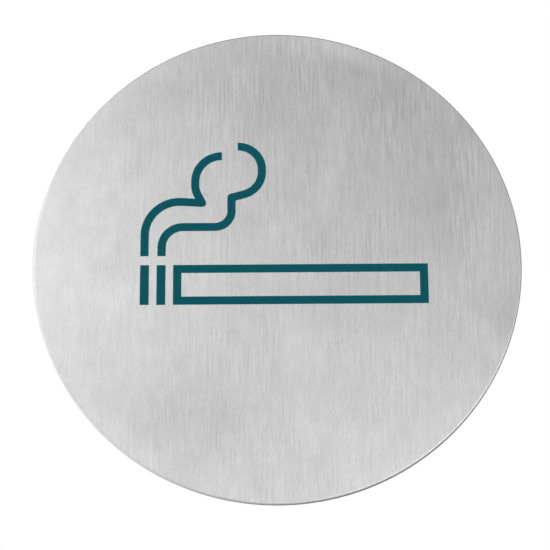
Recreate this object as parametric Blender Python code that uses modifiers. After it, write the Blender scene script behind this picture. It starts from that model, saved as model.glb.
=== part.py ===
"""Round steel wall sign for a smoking area, a standalone Blender 4.5 script.

The sign is a disc of brushed stainless sheet, rolled over at its front edge where the die cut
it and broken at the back. Its face carries a printed pictogram: a cigarette drawn as a hollow
bar, two bars of ash at its burning end and two lines of smoke that rise from them. It has no
screw holes: a round foam pad on its back sticks it to a wall or a door.

Frame: metres, +Z up, +X to the reader's right, and the face looks along -Y. The origin is the
centre of the pad's back, which lies against the wall.
"""
import math

import bpy
from mathutils import geometry

MM = 0.001

# Steel plate
PLATE_DIAMETER = 160 * MM
PLATE_THICKNESS = 1.5 * MM
FRONT_EDGE_ROUND = 0.6 * MM
BACK_EDGE_ROUND = 0.2 * MM

# Foam pad on the back, cut smaller than the plate so that it doesn't show from the front
PAD_INSET = 6 * MM
PAD_THICKNESS = 1 * MM

# Ink, and the glue line or key between two layers of the sign
INK_THICKNESS = 0.1 * MM
SEAT_GAP = 0.02 * MM

# Pictogram as a whole: its middle from side to side, and the level of the cigarette's top
# edge, both from the plate's centre, and the width of its drawn lines
PICTOGRAM_MIDDLE = 2.25 * MM
CIGARETTE_TOP = -1.1 * MM
LINE_WIDTH = 2.7 * MM

# Cigarette and the two bars of ash, which are as tall as it is
CIGARETTE_LENGTH = 83.2 * MM
CIGARETTE_HEIGHT = 13.4 * MM
ASH_BAR_WIDTH = 2.9 * MM
ASH_BAR_GAP = 2.5 * MM

# Smoke: each line starts over its own bar of ash, this far above it. The outer line is flush
# with the left edge of the pair of bars, and the inner line with its right edge
SMOKE_START_GAP = 3.1 * MM

# Outer smoke line: it rises, bends over to the right a little past level, drifts along, turns
# sharply back and curls up and over in a puff that ends level
OUTER_RISE = 7.2 * MM
OUTER_BEND_RADIUS = 11.4 * MM
OUTER_BEND_ANGLE = math.radians(93.5)
OUTER_DRIFT = 6.7 * MM
OUTER_TURN_BACK = math.radians(121.4)
OUTER_PUFF_START = 2.9 * MM
OUTER_PUFF_LOW_RADIUS = 8.0 * MM
OUTER_PUFF_SIDE = 1.2 * MM
OUTER_PUFF_TOP_RADIUS = 8.8 * MM

# Inner smoke line: it rises, bends level, bends up again, turns sharply to the right and curls
# up and back in a puff. It keeps these distances, centre to centre, from the outer line: under
# its drift, and to the right of its open end
INNER_BELOW_DRIFT = 8.3 * MM
INNER_BESIDE_END = 3.2 * MM
INNER_LOW_BEND_RADIUS = 6.9 * MM
INNER_HIGH_BEND_RADIUS = 5.4 * MM
INNER_SECOND_RISE = 4.7 * MM
INNER_TURN_OUT = math.radians(75)
INNER_PUFF_START = 4.3 * MM
INNER_PUFF_LOW_RADIUS = 8.0 * MM
INNER_PUFF_SIDE = 1.0 * MM
INNER_PUFF_TOP_RADIUS = 8.0 * MM

# Fineness of the round shapes, and how close two points of an outline are the same one
ROUND_SEGMENTS = 192
FRONT_EDGE_SEGMENTS = 4
BACK_EDGE_SEGMENTS = 2
ARC_STEP = math.radians(5)
SAME_POINT = 0.001 * MM

# Levels of the layers, counted outward from the wall
PLATE_BACK = PAD_THICKNESS + SEAT_GAP
INK_BACK = PLATE_BACK + PLATE_THICKNESS + SEAT_GAP

# Pictogram edges and centre lines that follow from the sizes above
PICTOGRAM_WIDTH = CIGARETTE_LENGTH + 2 * (ASH_BAR_WIDTH + ASH_BAR_GAP)
PICTOGRAM_LEFT = PICTOGRAM_MIDDLE - PICTOGRAM_WIDTH / 2
CIGARETTE_BOTTOM = CIGARETTE_TOP - CIGARETTE_HEIGHT
INNER_BAR_LEFT = PICTOGRAM_LEFT + ASH_BAR_WIDTH + ASH_BAR_GAP
CIGARETTE_LEFT = INNER_BAR_LEFT + ASH_BAR_WIDTH + ASH_BAR_GAP
SMOKE_BOTTOM = CIGARETTE_TOP + SMOKE_START_GAP
OUTER_SMOKE_START = PICTOGRAM_LEFT + LINE_WIDTH / 2
INNER_SMOKE_START = INNER_BAR_LEFT + ASH_BAR_WIDTH - LINE_WIDTH / 2
QUARTER_TURN = math.pi / 2
STRAIGHT_UP = math.pi / 2


def start_empty_scene():
    for thing in list(bpy.data.objects):
        bpy.data.objects.remove(thing, do_unlink=True)
    parts = bpy.data.collections.new("Smoking area sign")
    bpy.context.scene.collection.children.link(parts)
    return parts


def principled(name, colour, roughness, metallic):
    material = bpy.data.materials.new(name)
    material.use_nodes = True
    shader = material.node_tree.nodes["Principled BSDF"]
    shader.inputs["Base Color"].default_value = (*colour, 1.0)
    shader.inputs["Roughness"].default_value = roughness
    shader.inputs["Metallic"].default_value = metallic
    material.diffuse_color = (*colour, 1.0)
    return material


def place(thing, parts, wall, level, material):
    """Put an object in the sign's collection, this far out from the wall."""
    for collection in list(thing.users_collection):
        collection.objects.unlink(thing)
    parts.objects.link(thing)
    thing.parent = wall
    thing.location = (0, 0, level)
    thing.data.materials.append(material)


def add_wall_frame(parts):
    """An empty whose +X is right, +Y is up and +Z points out of the wall to the reader."""
    wall = bpy.data.objects.new("wall_frame", None)
    wall.rotation_euler = (math.pi / 2, 0, 0)
    parts.objects.link(wall)
    return wall


def add_disc(name, diameter, thickness):
    """A round plate that lies level, centred on its own origin."""
    bpy.ops.mesh.primitive_cylinder_add(
        vertices=ROUND_SEGMENTS, radius=diameter / 2, depth=thickness)
    disc = bpy.context.object
    disc.name = name
    disc.data.name = name
    disc.data.shade_smooth()
    disc.data.set_sharp_from_angle(angle=math.radians(40))
    return disc


def round_rim(disc, name, side, width, segments):
    """Round one rim of a disc: side is 1 for the one that faces the reader, -1 for the other."""
    rim = [vertex.index for vertex in disc.data.vertices if vertex.co.z * side > 0]
    disc.vertex_groups.new(name=name).add(rim, 1.0, 'REPLACE')
    edge = disc.modifiers.new(name, 'BEVEL')
    edge.limit_method = 'VGROUP'
    edge.vertex_group = name
    edge.width = width
    edge.segments = segments


def add_sign_plate(parts, wall, steel):
    plate = add_disc("sign_plate", PLATE_DIAMETER, PLATE_THICKNESS)
    round_rim(plate, "Rolled edge", 1, FRONT_EDGE_ROUND, FRONT_EDGE_SEGMENTS)
    round_rim(plate, "Broken edge", -1, BACK_EDGE_ROUND, BACK_EDGE_SEGMENTS)
    place(plate, parts, wall, PLATE_BACK + PLATE_THICKNESS / 2, steel)


def add_adhesive_pad(parts, wall, foam):
    pad = add_disc("adhesive_pad", PLATE_DIAMETER - 2 * PAD_INSET, PAD_THICKNESS)
    place(pad, parts, wall, PAD_THICKNESS / 2, foam)


def add_print(name, outlines, parts, wall, ink):
    """A flat field of ink, from outlines in the plane of the face. A second one is a hole."""
    curve = bpy.data.curves.new(name, 'CURVE')
    curve.dimensions = '2D'
    curve.fill_mode = 'BOTH'
    curve.extrude = INK_THICKNESS / 2
    for outline in outlines:
        spline = curve.splines.new('POLY')
        spline.points.add(len(outline) - 1)
        for point, (x, y) in zip(spline.points, outline):
            point.co = (x, y, 0, 1)
        spline.use_cyclic_u = True
    field = bpy.data.objects.new(name, curve)
    place(field, parts, wall, INK_BACK + INK_THICKNESS / 2, ink)


def rectangle(left, bottom, width, height):
    right = left + width
    top = bottom + height
    return [(left, bottom), (right, bottom), (right, top), (left, top)]


class Pen:
    """A pen that draws one line by straight runs, bends and sharp turns.

    Angles are positive to the left. A sharp turn ends one leg of the line and starts the next.
    """

    def __init__(self, x, y, heading):
        self.x = x
        self.y = y
        self.heading = heading
        self.legs = [[(x, y, heading)]]

    def mark(self):
        self.legs[-1].append((self.x, self.y, self.heading))

    def run(self, length):
        self.x += length * math.cos(self.heading)
        self.y += length * math.sin(self.heading)
        self.mark()

    def bend(self, radius, angle):
        side = math.copysign(radius, angle)
        centre_x = self.x - side * math.sin(self.heading)
        centre_y = self.y + side * math.cos(self.heading)
        for heading in headings(self.heading, self.heading + angle):
            self.heading = heading
            self.x = centre_x + side * math.sin(heading)
            self.y = centre_y - side * math.cos(heading)
            self.mark()

    def turn(self, angle):
        self.heading += angle
        self.legs.append([(self.x, self.y, self.heading)])


def headings(first, last):
    """Headings from one to the other in equal steps, without the first."""
    steps = max(1, math.ceil(abs(last - first) / ARC_STEP))
    return [first + (last - first) * step / steps for step in range(1, steps + 1)]


def beside(leg, offset):
    """The line that runs beside a leg, to its left by the offset."""
    return [(x - offset * math.sin(h), y + offset * math.cos(h)) for x, y, h in leg]


def joined_inside(before, after):
    """Two lines that cross inside a sharp turn, cut where they cross and joined there."""
    for i in range(len(before) - 1, 0, -1):
        for j in range(len(after) - 1):
            crossing = geometry.intersect_line_line_2d(
                before[i - 1], before[i], after[j], after[j + 1])
            if crossing:
                return before[:i] + [tuple(crossing)] + after[j + 1:]
    return before + after


def without_repeats(outline):
    kept = [outline[0]]
    for point in outline[1:]:
        if math.dist(point, kept[-1]) > SAME_POINT:
            kept.append(point)
    return kept


def stroke(pen):
    """The outline of a pen line: square ends, and turns that are round outside, sharp inside."""
    half = LINE_WIDTH / 2
    left = beside(pen.legs[0], half)
    right = beside(pen.legs[0], -half)
    for before, after in zip(pen.legs, pen.legs[1:]):
        x, y, old = before[-1]
        new = after[0][2]
        swing = [(x, y, heading) for heading in headings(old, new)]
        if new > old:
            left = joined_inside(left, beside(after, half))
            right += beside(swing, -half) + beside(after, -half)
        else:
            left += beside(swing, half) + beside(after, half)
            right = joined_inside(right, beside(after, -half))
    return without_repeats(left + right[::-1])


def outer_smoke():
    pen = Pen(OUTER_SMOKE_START, SMOKE_BOTTOM, STRAIGHT_UP)
    pen.run(OUTER_RISE)
    pen.bend(OUTER_BEND_RADIUS, -OUTER_BEND_ANGLE)
    pen.run(OUTER_DRIFT)
    drift_level = pen.y
    pen.turn(OUTER_TURN_BACK)
    pen.run(OUTER_PUFF_START)
    pen.bend(OUTER_PUFF_LOW_RADIUS, STRAIGHT_UP - pen.heading)
    pen.run(OUTER_PUFF_SIDE)
    pen.bend(OUTER_PUFF_TOP_RADIUS, -QUARTER_TURN)
    return pen, drift_level


def inner_smoke(outer_end, drift_level):
    """The inner line, led below the outer line's drift and up beside its open end."""
    pen = Pen(INNER_SMOKE_START, SMOKE_BOTTOM, STRAIGHT_UP)
    pen.run(drift_level - INNER_BELOW_DRIFT - INNER_LOW_BEND_RADIUS - pen.y)
    pen.bend(INNER_LOW_BEND_RADIUS, -QUARTER_TURN)
    pen.run(outer_end + INNER_BESIDE_END - INNER_HIGH_BEND_RADIUS - pen.x)
    pen.bend(INNER_HIGH_BEND_RADIUS, QUARTER_TURN)
    pen.run(INNER_SECOND_RISE)
    pen.turn(-INNER_TURN_OUT)
    pen.run(INNER_PUFF_START)
    pen.bend(INNER_PUFF_LOW_RADIUS, INNER_TURN_OUT)
    pen.run(INNER_PUFF_SIDE)
    pen.bend(INNER_PUFF_TOP_RADIUS, QUARTER_TURN)
    return pen


def add_smoke(parts, wall, ink):
    outer, drift_level = outer_smoke()
    inner = inner_smoke(outer.x, drift_level)
    add_print("smoke_line_outer", [stroke(outer)], parts, wall, ink)
    add_print("smoke_line_inner", [stroke(inner)], parts, wall, ink)


def add_ash_bars(parts, wall, ink):
    for name, left in (("ash_bar_outer", PICTOGRAM_LEFT), ("ash_bar_inner", INNER_BAR_LEFT)):
        bar = rectangle(left, CIGARETTE_BOTTOM, ASH_BAR_WIDTH, CIGARETTE_HEIGHT)
        add_print(name, [bar], parts, wall, ink)


def add_cigarette(parts, wall, ink):
    """The cigarette is drawn as an outline, one line wide, and the steel shows inside it."""
    outside = rectangle(CIGARETTE_LEFT, CIGARETTE_BOTTOM, CIGARETTE_LENGTH, CIGARETTE_HEIGHT)
    inside = rectangle(
        CIGARETTE_LEFT + LINE_WIDTH, CIGARETTE_BOTTOM + LINE_WIDTH,
        CIGARETTE_LENGTH - 2 * LINE_WIDTH, CIGARETTE_HEIGHT - 2 * LINE_WIDTH)
    add_print("cigarette_outline", [outside, inside], parts, wall, ink)


def build_sign():
    parts = start_empty_scene()
    wall = add_wall_frame(parts)
    steel = principled("brushed_steel", (0.56, 0.56, 0.56), 0.34, 1.0)
    foam = principled("white_foam", (0.78, 0.77, 0.74), 0.8, 0.0)
    ink = principled("teal_ink", (0.007, 0.083, 0.102), 0.45, 0.0)
    add_adhesive_pad(parts, wall, foam)
    add_sign_plate(parts, wall, steel)
    add_cigarette(parts, wall, ink)
    add_ash_bars(parts, wall, ink)
    add_smoke(parts, wall, ink)


build_sign()
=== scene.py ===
"""Looks of the round steel smoking area sign: finishes, finer meshes, lights and camera.

Everything is in metres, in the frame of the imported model: +Z up, the face looks along -Y, and
the origin is the centre of the back, which lies against the wall.
"""
import math

import bmesh
import bpy
from mathutils import Matrix, Vector


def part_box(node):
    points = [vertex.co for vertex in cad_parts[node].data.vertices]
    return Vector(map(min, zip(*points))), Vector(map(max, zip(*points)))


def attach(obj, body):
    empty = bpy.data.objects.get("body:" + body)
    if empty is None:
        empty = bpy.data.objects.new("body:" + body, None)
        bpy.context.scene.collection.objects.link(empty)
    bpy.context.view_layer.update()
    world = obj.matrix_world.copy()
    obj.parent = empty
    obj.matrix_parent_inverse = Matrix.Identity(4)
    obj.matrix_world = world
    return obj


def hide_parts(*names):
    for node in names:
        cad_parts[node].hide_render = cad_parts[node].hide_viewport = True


MM = 0.001

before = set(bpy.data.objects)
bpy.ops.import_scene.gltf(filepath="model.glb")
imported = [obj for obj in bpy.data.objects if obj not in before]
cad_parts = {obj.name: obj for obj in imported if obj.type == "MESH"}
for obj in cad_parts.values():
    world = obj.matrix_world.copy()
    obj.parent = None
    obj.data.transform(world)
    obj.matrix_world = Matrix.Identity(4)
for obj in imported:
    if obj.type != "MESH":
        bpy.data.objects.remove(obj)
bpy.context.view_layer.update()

# Sizes read from the frame
PLATE_LOW, PLATE_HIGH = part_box("sign_plate")
PAD_LOW, PAD_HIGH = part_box("adhesive_pad")
PLATE_RADIUS = (PLATE_HIGH.x - PLATE_LOW.x) / 2
PLATE_FRONT = PLATE_LOW.y
PLATE_BACK = PLATE_HIGH.y
PAD_RADIUS = (PAD_HIGH.x - PAD_LOW.x) / 2
INK_NODES = (
    "cigarette_outline", "ash_bar_outer", "ash_bar_inner", "smoke_line_outer", "smoke_line_inner")

# Edges
FRONT_ROUND = 0.6 * MM
BACK_ROUND = 0.2 * MM
EDGE_STEPS = 10
BRUSHED_STEPS = 1
ROLLED_STEPS = 7
FLAT_MARGIN = 0.4 * MM
TURN_STEPS = 720
INK_EDGE_ROUND = 0.03 * MM
INK_EDGE_STEPS = 3
PAD_EDGE_ROUND = 0.12 * MM
PAD_EDGE_STEPS = 4
PAD_WAIST = 0.1 * MM

# Limits for cleaning the ink's outline
SAME_POINT = 0.0005 * MM
SAME_LEVEL = 0.001 * MM
FLAT_ANGLE = math.radians(0.5)
SHARP_ANGLE = math.radians(60)

# Brushed steel: its tone, and how rough and how uneven by direction its gloss is
STEEL_TONE = 0.67
STEEL_ROUGHNESS = 0.27
STEEL_ANISOTROPY = 0.6

# Marks of the brushing: their size across the sheet, through it and along the grain
HAIR_SIZE = (0.25 * MM, 1, 8 * MM)
SCRATCH_SIZE = (0.35 * MM, 1, 7 * MM)
LINE_SIZE = (0.6 * MM, 1, 60 * MM)
STREAK_SIZE = (0.8 * MM, 1, 14 * MM)
MOTTLE_SIZE = (4.5 * MM, 1, 5 * MM)
WORN_SIZE = (9 * MM, 1, 14 * MM)
CLOUD_SIZE = (14 * MM, 1, 18 * MM)

# How far the marks change the tone
STREAK_TONE = 0.13
LINE_TONE = 0.07
MOTTLE_TONE = 0.14
CLOUD_TONE = 0.13

# How far they change the roughness: the streaks between two depths, by where the sheet is worn,
# and the scratches only where their noise is high
STREAK_GLOSS = (0.07, 0.32)
WORN_SPAN = (0.40, 0.60)
LINE_GLOSS = 0.06
SCRATCH_GLOSS = 0.09
SCRATCH_SPAN = (0.66, 0.76)
HAIR_HEIGHT = 0.002 * MM

# Other finishes: the size of their marks along X, Y and Z, the dark and the light tone of each,
# how rough it is, and how high its relief
ROLLED_WAVE_SIZE = (4 * MM, 1 * MM, 4 * MM)
ROLLED_TONES = ((0.66, 0.66, 0.66), (0.74, 0.74, 0.74))
ROLLED_ROUGHNESS = 0.36
CUT_SHEAR_SIZE = (0.5 * MM, 3 * MM, 0.5 * MM)
# The cut wall's dark tones are painted shade: they draw the dark line along the rim.
CUT_SHADED_TONES = ((0.17, 0.17, 0.17), (0.27, 0.27, 0.27))
CUT_ROUGHNESS = 0.42
CUT_HEIGHT = 0.01 * MM
MILL_ROLL_SIZE = (2 * MM, 1, 40 * MM)
MILL_CLOUD_SIZE = (12 * MM, 1, 30 * MM)
MILL_TONES = ((0.54, 0.54, 0.54), (0.64, 0.64, 0.64))
MILL_ROUGHNESS = (0.30, 0.38)
INK_GRAIN_SIZE = (0.3 * MM, 1, 6 * MM)
INK_TONES = ((0.0014, 0.074, 0.093), (0.0028, 0.086, 0.107))
INK_ROUGHNESS = 0.6
INK_SPECULAR = 0.05
INK_HEIGHT = 0.004 * MM
FOAM_CELL_SIZE = (0.25 * MM, 0.25 * MM, 0.25 * MM)
FOAM_TONES = ((0.70, 0.69, 0.66), (0.82, 0.81, 0.78))
FOAM_ROUGHNESS = 0.6
FOAM_HEIGHT = 0.05 * MM

# Where most of the values of a noise lie
NOISE_SPAN = (0.3, 0.7)

# Duller and brighter patches on the face, partly the brushing's own unevenness and partly painted
# shade and painted reflections: the middle, half the width and half the height in millimetres,
# how far the top leans to the right in degrees, and the change of tone
PAINTED_SHADE_AND_SHEEN_PATCHES = (
    (-27, -47, 22, 23, 0, -0.11),
    (-17, -56, 12, 12, 0, -0.05),
    (-5, 48, 10, 25, 8, -0.06),
    (52, 18, 12, 36, 0, -0.055),
    (38, 53, 11, 13, 0, -0.045),
    (-9, 10, 11, 11, 0, -0.045),
    (75, -19, 12, 16, 0, -0.13),
    (-37, 57, 11, 9, 0, -0.035),
    (19, 36, 5.5, 33, 10, 0.07),
    (9, -32, 12, 13, 0, 0.07),
    (8, -55, 5, 17, 0, 0.055),
    (8, -4, 9, 9, 0, 0.06),
    (33, -4, 5, 9, 0, 0.06),
    (31, -33, 9, 9, 0, 0.04),
    (-54, -12, 14, 10, 0, 0.055),
    (69, 14, 11, 36, 0, 0.06),
    (17, 79, 32, 12, 0, 0.18),
    (29, 71, 19, 5, 22, 0.15),
    (-36, 70, 18, 7, -27, 0.08),
    (-54, 57, 22, 8, -43, 0.065),
    (-48, -63, 30, 10, 38, 0.10),
)

# Camera: it stands this far from the middle of the face, this much below square-on, and looks
# slightly past the middle
CAMERA_DISTANCE = 600 * MM
CAMERA_BELOW = math.radians(16.18)
CAMERA_PAN = math.radians(-0.067)
CAMERA_TILT = math.radians(-0.432)
CAMERA_ROLL = math.radians(-0.394)
LENS_MM = 120.1
SENSOR_MM = 36

# Floor: pale and shadowed near the sign, and fading to plain white further off
FLOOR_LEVEL = -0.26
FLOOR_RADIUS = 6.0
FLOOR_SIDES = 128
FLOOR_TONE = 0.86
FLOOR_ROUGHNESS = 0.9
FLOOR_FADE = (0.5, 1.6)

# Light of the white room: what the camera sees, and what falls on paint
WORLD_SEEN = 1.0
WORLD_DIFFUSE = 0.65

# The room that polished surfaces mirror. Directions are azimuths to the right of the viewer's
# side and elevations, in degrees. The room is this bright on the viewer's side, falls off between
# two angles from there, and brightens again towards a wide white wall on the left. Grey screens
# take away a share of it: each has a direction, a radius in degrees and that share.
ROOM_FRONT = 0.78
ROOM_BACK = 0.36
ROOM_FALL = (33.0, 60.0)
WALL_WAY = (-110.0, -8.0)
WALL_RADIUS = 100.0
WALL_GLOW = 1.30
SCREENS = (
    (5.0, 22.0, 10.0, 0.80),
    (0.0, 85.0, 34.0, 0.65),
)

# Soft lamps: azimuth and elevation as above, distance in metres, width and height in degrees as
# seen from the sign, and radiance
LAMPS = {
    "panel_left": (-30.0, 17.0, 2.0, 33.0, 13.0, 1.4),
    "panel_low": (29.0, 2.0, 2.0, 44.0, 6.5, 2.4),
    "key": (-35.0, 55.0, 2.0, 22.0, 22.0, 8.0),
    "panel_back": (-136.0, 43.0, 2.0, 37.0, 28.0, 3.6),
}

# Lamps that light paint and cast shadows, and that polished surfaces don't mirror
UNMIRRORED = ("key",)


def direction(azimuth, elevation):
    """The way from the sign to a place in the room."""
    a, e = math.radians(azimuth), math.radians(elevation)
    return Vector((math.sin(a) * math.cos(e), -math.cos(a) * math.cos(e), math.sin(e)))


class Nodes:
    """A short way to write the node tree of a material or of the world."""

    def __init__(self, owner):
        owner.use_nodes = True
        self.owner = owner
        self.tree = owner.node_tree
        self.shader = self.tree.nodes.get("Principled BSDF")
        self.coords = self.tree.nodes.new("ShaderNodeTexCoord")

    def link(self, source, target):
        """Joins an output to an input."""
        self.tree.links.new(source, target)

    def fill(self, socket, value):
        """Links an output to the input, or writes a number or colour on it."""
        if isinstance(value, bpy.types.NodeSocket):
            self.link(value, socket)
        else:
            socket.default_value = value

    def noise(self, size, detail=2.0, rough=0.5, offset=(0, 0, 0)):
        """Noise whose grains have this size along X, Y and Z, in metres."""
        mapping = self.tree.nodes.new("ShaderNodeMapping")
        self.link(self.coords.outputs["Object"], mapping.inputs["Vector"])
        mapping.inputs["Scale"].default_value = [1 / s for s in size]
        mapping.inputs["Location"].default_value = offset
        noise = self.tree.nodes.new("ShaderNodeTexNoise")
        self.link(mapping.outputs["Vector"], noise.inputs["Vector"])
        noise.inputs["Scale"].default_value = 1.0
        noise.inputs["Detail"].default_value = detail
        noise.inputs["Roughness"].default_value = rough
        return noise.outputs["Fac"]

    def math(self, operation, a, b=0.0, c=0.0):
        """One step of arithmetic."""
        node = self.tree.nodes.new("ShaderNodeMath")
        node.operation = operation
        for socket, value in zip(node.inputs, (a, b, c)):
            self.fill(socket, value)
        return node.outputs[0]

    def sway(self, layer, weight, value):
        """The value, moved up and down by a layer of noise times a weight."""
        return self.math('MULTIPLY_ADD', self.math('SUBTRACT', layer, 0.5), weight, value)

    def span(self, value, low, high, to_low, to_high, smooth=False):
        """The value taken from one range to another, and held at its ends."""
        node = self.tree.nodes.new("ShaderNodeMapRange")
        node.interpolation_type = 'SMOOTHSTEP' if smooth else 'LINEAR'
        for socket, number in zip(node.inputs, (value, low, high, to_low, to_high)):
            self.fill(socket, number)
        return node.outputs[0]

    def patch(self, x, z, wide, high, lean, change):
        """A soft oval on the face, changed most in its middle."""
        mapping = self.tree.nodes.new("ShaderNodeMapping")
        mapping.vector_type = 'TEXTURE'
        self.link(self.coords.outputs["Object"], mapping.inputs["Vector"])
        mapping.inputs["Location"].default_value = (x * MM, 0, z * MM)
        mapping.inputs["Rotation"].default_value = (0, math.radians(lean), 0)
        mapping.inputs["Scale"].default_value = (wide * MM, 1, high * MM)
        away = self.tree.nodes.new("ShaderNodeVectorMath")
        away.operation = 'LENGTH'
        self.link(mapping.outputs["Vector"], away.inputs[0])
        return self.span(away.outputs["Value"], 0, 1, change, 0, smooth=True)

    def ramp(self, value, dark, light):
        """A colour between two, by the value from 0 to 1."""
        node = self.tree.nodes.new("ShaderNodeMix")
        node.data_type = 'RGBA'
        self.fill(node.inputs["Factor"], value)
        node.inputs["A"].default_value = (*dark, 1)
        node.inputs["B"].default_value = (*light, 1)
        return node.outputs["Result"]

    def bump(self, relief, height):
        """Small relief, this high from its lowest to its highest."""
        node = self.tree.nodes.new("ShaderNodeBump")
        node.inputs["Strength"].default_value = 1.0
        node.inputs["Distance"].default_value = height
        self.link(relief, node.inputs["Height"])
        self.link(node.outputs["Normal"], self.shader.inputs["Normal"])

    def tangent(self, axis):
        """The way that anisotropic gloss runs, round one axis."""
        node = self.tree.nodes.new("ShaderNodeTangent")
        node.direction_type = 'RADIAL'
        node.axis = axis
        self.link(node.outputs["Tangent"], self.shader.inputs["Tangent"])

    def set(self, **values):
        """Inputs of the shader, with _ for a space in their names."""
        for name, value in values.items():
            self.fill(self.shader.inputs[name.replace("_", " ")], value)


def finish(name):
    """A new material, ready for its nodes."""
    return Nodes(bpy.data.materials.new(name))


def brushed_steel():
    """Stainless sheet: a short fine grain up and down, some sharper lines, and patches partly of
    painted shade and painted reflection.
    """
    m = finish("brushed_steel")
    hair = m.noise(HAIR_SIZE, detail=2, rough=0.6)
    streak = m.noise(STREAK_SIZE, detail=3, rough=0.6, offset=(7, 0, 3))
    line = m.noise(LINE_SIZE, detail=3, rough=0.7, offset=(4, 0, 8))
    mottle = m.noise(MOTTLE_SIZE, detail=2, offset=(9, 0.5, 2))
    cloud = m.noise(CLOUD_SIZE, detail=1, offset=(5, 0.5, 1))
    worn = m.noise(WORN_SIZE, detail=2, offset=(3, 0.5, 17))
    scratch = m.noise(SCRATCH_SIZE, detail=1, offset=(11, 0.5, 6))

    tone = m.sway(streak, STREAK_TONE, 1.0)
    tone = m.sway(line, LINE_TONE, tone)
    tone = m.sway(mottle, MOTTLE_TONE, tone)
    tone = m.sway(cloud, CLOUD_TONE, tone)
    # The patches add painted shade and painted reflections to the tone, besides the brushing's
    # own unevenness.
    for place in PAINTED_SHADE_AND_SHEEN_PATCHES:
        tone = m.math('ADD', m.patch(*place), tone)

    depth = m.span(worn, *WORN_SPAN, *STREAK_GLOSS)
    gloss = m.sway(streak, depth, STEEL_ROUGHNESS)
    gloss = m.sway(line, LINE_GLOSS, gloss)
    gloss = m.math('ADD', m.span(scratch, *SCRATCH_SPAN, 0, SCRATCH_GLOSS), gloss)

    m.set(Base_Color=m.math('MULTIPLY', tone, STEEL_TONE), Metallic=1.0, Roughness=gloss,
          Anisotropic=STEEL_ANISOTROPY)
    m.tangent('Z')
    m.bump(hair, HAIR_HEIGHT)
    return m.owner


def rolled_edge():
    """The front edge that the die rolled over, smoother and evener than the brushed face."""
    m = finish("rolled_edge")
    wave = m.noise(ROLLED_WAVE_SIZE, detail=2)
    m.set(Base_Color=m.ramp(wave, *ROLLED_TONES), Metallic=1.0, Roughness=ROLLED_ROUGHNESS)
    return m.owner


def shaded_cut_edge():
    """The stamped and deburred wall of the sheet, rougher than the face, and darkened as painted
    shade for the dark line along the rim.
    """
    m = finish("shaded_cut_edge")
    shear = m.noise(CUT_SHEAR_SIZE, detail=3, rough=0.6)
    m.set(Base_Color=m.ramp(shear, *CUT_SHADED_TONES), Metallic=1.0, Roughness=CUT_ROUGHNESS)
    m.bump(shear, CUT_HEIGHT)
    return m.owner


def mill_back():
    """The unbrushed back of the sheet, as it left the rolls."""
    m = finish("mill_back")
    roll = m.noise(MILL_ROLL_SIZE, detail=3, rough=0.6)
    cloud = m.noise(MILL_CLOUD_SIZE, detail=3, offset=(4, 0, 9))
    m.set(Base_Color=m.ramp(roll, *MILL_TONES), Metallic=1.0,
          Roughness=m.span(cloud, *NOISE_SPAN, *MILL_ROUGHNESS))
    return m.owner


def teal_ink():
    """Screen-printed ink, matt, with the steel's grain faint beneath it."""
    m = finish("teal_ink")
    grain = m.noise(INK_GRAIN_SIZE, detail=2)
    m.set(Base_Color=m.ramp(m.span(grain, *NOISE_SPAN, 0, 1), *INK_TONES),
          Roughness=INK_ROUGHNESS, Specular_IOR_Level=INK_SPECULAR)
    m.bump(grain, INK_HEIGHT)
    return m.owner


def white_foam():
    """Closed-cell foam with an acrylic adhesive face."""
    m = finish("white_foam")
    cells = m.noise(FOAM_CELL_SIZE, detail=3)
    m.set(Base_Color=m.ramp(cells, *FOAM_TONES), Roughness=FOAM_ROUGHNESS)
    m.bump(cells, FOAM_HEIGHT)
    return m.owner


def turned(name, profile, materials, material_of):
    """A solid turned about Y, from (radius, y) points that run from the front to the back."""
    bm = bmesh.new()
    rings = []
    for radius, y in profile:
        if radius == 0:
            rings.append([bm.verts.new((0, y, 0))])
            continue
        ring = []
        for step in range(TURN_STEPS):
            angle = 2 * math.pi * step / TURN_STEPS
            ring.append(bm.verts.new((radius * math.cos(angle), y, radius * math.sin(angle))))
        rings.append(ring)
    for index, (near, far) in enumerate(zip(rings, rings[1:])):
        for step in range(TURN_STEPS):
            after = (step + 1) % TURN_STEPS
            if len(near) == 1:
                corners = (near[0], far[step], far[after])
            elif len(far) == 1:
                corners = (near[step], far[0], near[after])
            else:
                corners = (near[step], far[step], far[after], near[after])
            face = bm.faces.new(corners)
            face.smooth = True
            face.material_index = material_of(index)
    bmesh.ops.recalc_face_normals(bm, faces=bm.faces)
    mesh = bpy.data.meshes.new(name)
    bm.to_mesh(mesh)
    bm.free()
    for material in materials:
        mesh.materials.append(material)
    piece = bpy.data.objects.new(name, mesh)
    bpy.context.scene.collection.objects.link(piece)
    return piece


def rounded(corner_radius, centre, start, steps):
    """Points of a quarter round, from one angle on, 90 degrees clockwise."""
    points = []
    for step in range(steps + 1):
        angle = start - math.pi / 2 * step / steps
        points.append((centre[0] + corner_radius * math.cos(angle),
                       centre[1] - corner_radius * math.sin(angle)))
    return points


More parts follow.
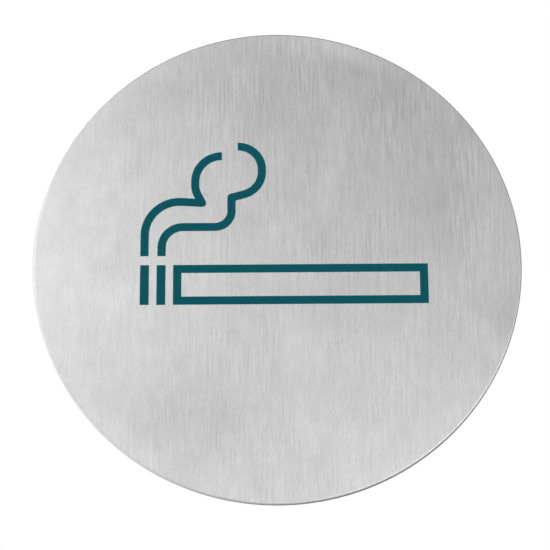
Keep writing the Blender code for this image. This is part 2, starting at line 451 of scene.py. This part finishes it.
def build_plate():
    """The plate, with flat faces up to its rolled front edge and its broken back edge."""
    front_centre = (PLATE_RADIUS - FRONT_ROUND, PLATE_FRONT + FRONT_ROUND)
    back_centre = (PLATE_RADIUS - BACK_ROUND, PLATE_BACK - BACK_ROUND)
    front_round = rounded(FRONT_ROUND, front_centre, math.pi / 2, EDGE_STEPS)
    back_round = rounded(BACK_ROUND, back_centre, 0, EDGE_STEPS)
    flat = PLATE_RADIUS - FRONT_ROUND - FLAT_MARGIN
    front = [(0, PLATE_FRONT), (flat, PLATE_FRONT)]
    back = [(flat, PLATE_BACK), (0, PLATE_BACK)]
    brushed_until = len(front) + BRUSHED_STEPS
    rolled_until = len(front) + ROLLED_STEPS
    cut_until = len(front) + len(front_round) + EDGE_STEPS

    materials = [brushed_steel(), rolled_edge(), shaded_cut_edge(), mill_back()]

    def material_of(index):
        """The material of a ring of faces, by how many of the borders lie in front of it."""
        return sum(index >= limit for limit in (brushed_until, rolled_until, cut_until))

    plate = turned("plate", front + front_round + back_round + back, materials, material_of)
    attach(plate, "root")
    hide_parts("sign_plate")


def build_pad():
    """The foam pad, a little waisted where the die cut it."""
    front, back = PAD_LOW.y, PAD_HIGH.y
    inner = PAD_RADIUS - PAD_EDGE_ROUND
    flat = inner - FLAT_MARGIN
    front_round = rounded(
        PAD_EDGE_ROUND, (inner, front + PAD_EDGE_ROUND), math.pi / 2, PAD_EDGE_STEPS)
    back_round = rounded(PAD_EDGE_ROUND, (inner, back - PAD_EDGE_ROUND), 0, PAD_EDGE_STEPS)
    waist = [(PAD_RADIUS - PAD_WAIST, (front + back) / 2)]
    profile = ([(0, front), (flat, front)] + front_round + waist + back_round
               + [(flat, back), (0, back)])
    pad = turned("foam_pad", profile, [white_foam()], lambda index: 0)
    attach(pad, "root")
    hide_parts("adhesive_pad")


def build_ink(node, material):
    """A field of ink: the frame's own outline with its edges softened, as wet ink leaves them."""
    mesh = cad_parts[node].data.copy()
    bm = bmesh.new()
    bm.from_mesh(mesh)
    bmesh.ops.remove_doubles(bm, verts=bm.verts, dist=SAME_POINT)
    bmesh.ops.dissolve_limit(bm, angle_limit=FLAT_ANGLE, verts=bm.verts, edges=bm.edges)
    sharp = [e for e in bm.edges if e.calc_face_angle(0) > SHARP_ANGLE]
    front = min(v.co.y for v in bm.verts)
    rim = [e for e in sharp if all(abs(v.co.y - front) < SAME_LEVEL for v in e.verts)]
    bmesh.ops.bevel(bm, geom=rim, offset=INK_EDGE_ROUND, segments=INK_EDGE_STEPS, profile=0.5,
                    affect='EDGES')
    bm.to_mesh(mesh)
    bm.free()
    mesh.name = node + "_print"
    mesh.materials.clear()
    mesh.materials.append(material)
    piece = bpy.data.objects.new(node + "_print", mesh)
    bpy.context.scene.collection.objects.link(piece)
    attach(piece, "root")
    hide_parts(node)


def build_floor():
    """A pale floor that fades to white, so that no horizon shows."""
    bpy.ops.mesh.primitive_circle_add(
        vertices=FLOOR_SIDES, radius=FLOOR_RADIUS, fill_type='NGON',
        location=(0, 0, FLOOR_LEVEL))
    floor = bpy.context.object
    floor.name = "floor"
    m = finish("floor")
    m.set(Base_Color=(FLOOR_TONE, FLOOR_TONE, FLOOR_TONE, 1), Roughness=FLOOR_ROUGHNESS)
    away = m.tree.nodes.new("ShaderNodeVectorMath")
    away.operation = 'LENGTH'
    m.link(m.coords.outputs["Object"], away.inputs[0])
    fade = m.span(away.outputs["Value"], *FLOOR_FADE, 0, 1, smooth=True)
    path = m.tree.nodes.new("ShaderNodeLightPath")
    glow = m.tree.nodes.new("ShaderNodeEmission")
    glow.inputs["Strength"].default_value = WORLD_SEEN
    both = m.tree.nodes.new("ShaderNodeMixShader")
    m.link(m.math('MULTIPLY', fade, path.outputs["Is Camera Ray"]), both.inputs["Fac"])
    m.link(m.shader.outputs["BSDF"], both.inputs[1])
    m.link(glow.outputs["Emission"], both.inputs[2])
    m.link(both.outputs["Shader"], m.tree.nodes["Material Output"].inputs["Surface"])
    floor.data.materials.append(m.owner)
    floor.visible_glossy = False


def build_world():
    """A white room for the camera, its softer light on paint, and the room that metal mirrors."""
    world = bpy.data.worlds.new("studio")
    bpy.context.scene.world = world
    m = Nodes(world)
    background = m.tree.nodes["Background"]
    background.inputs["Color"].default_value = (1, 1, 1, 1)

    def angle_from(azimuth, elevation):
        dot = m.tree.nodes.new("ShaderNodeVectorMath")
        dot.operation = 'DOT_PRODUCT'
        m.link(m.coords.outputs["Generated"], dot.inputs[0])
        dot.inputs[1].default_value = direction(azimuth, elevation)
        return m.math('DEGREES', m.math('ARCCOSINE', dot.outputs["Value"]))

    room = m.span(angle_from(0, 0), *ROOM_FALL, ROOM_FRONT, ROOM_BACK, smooth=True)
    for azimuth, elevation, radius, share in SCREENS:
        screen = m.span(angle_from(azimuth, elevation), 0, radius, 1 - share, 1, smooth=True)
        room = m.math('MULTIPLY', room, screen)
    wall = m.span(angle_from(*WALL_WAY), 0, WALL_RADIUS, WALL_GLOW, 0, smooth=True)
    mirrored = m.math('ADD', room, wall)

    path = m.tree.nodes.new("ShaderNodeLightPath")
    glossy = path.outputs["Is Glossy Ray"]
    clear = m.math('MAXIMUM', path.outputs["Is Camera Ray"], path.outputs["Is Transmission Ray"])
    paint = m.math('SUBTRACT', 1.0, m.math('MAXIMUM', clear, glossy))
    total = m.math('MULTIPLY', clear, WORLD_SEEN)
    total = m.math('MULTIPLY_ADD', glossy, mirrored, total)
    total = m.math('MULTIPLY_ADD', paint, WORLD_DIFFUSE, total)
    m.link(total, background.inputs["Strength"])


def build_lamps():
    """Soft panels that face the sign, each with its own radiance."""
    for name, (azimuth, elevation, distance, wide, high, radiance) in LAMPS.items():
        way = direction(azimuth, elevation)
        width, height = (2 * distance * math.tan(math.radians(a) / 2) for a in (wide, high))
        lamp = bpy.data.lights.new(name, 'AREA')
        lamp.shape = 'RECTANGLE'
        lamp.size = width
        lamp.size_y = height
        lamp.energy = radiance * math.pi * width * height
        thing = bpy.data.objects.new(name, lamp)
        thing.location = way * distance
        thing.rotation_euler = way.to_track_quat('Z', 'Y').to_euler()
        thing.visible_camera = False
        thing.visible_glossy = name not in UNMIRRORED
        bpy.context.scene.collection.objects.link(thing)


def build_camera():
    """The camera, below the sign and turned a little, as the photograph shows it."""
    centre = Vector((0, PLATE_FRONT, 0))
    back = Vector((0, -math.cos(CAMERA_BELOW), -math.sin(CAMERA_BELOW)))
    look = -back
    right = look.cross(Vector((0, 0, 1))).normalized()
    up = right.cross(look)
    look = (look + right * CAMERA_PAN + up * CAMERA_TILT).normalized()
    right = look.cross(up).normalized()
    up = right.cross(look)
    c, s = math.cos(CAMERA_ROLL), math.sin(CAMERA_ROLL)
    right, up = right * c + up * s, up * c - right * s
    data = bpy.data.cameras.new("camera")
    data.lens = LENS_MM
    data.sensor_width = SENSOR_MM
    camera = bpy.data.objects.new("camera", data)
    turn = Matrix((right, up, -look)).transposed()
    camera.matrix_world = Matrix.Translation(centre + back * CAMERA_DISTANCE) @ turn.to_4x4()
    bpy.context.scene.collection.objects.link(camera)
    bpy.context.scene.camera = camera


build_camera()
build_world()
build_lamps()
build_floor()
build_plate()
build_pad()
ink = teal_ink()
for ink_node in INK_NODES:
    build_ink(ink_node, ink)
bpy.context.scene.view_settings.view_transform = 'Standard'
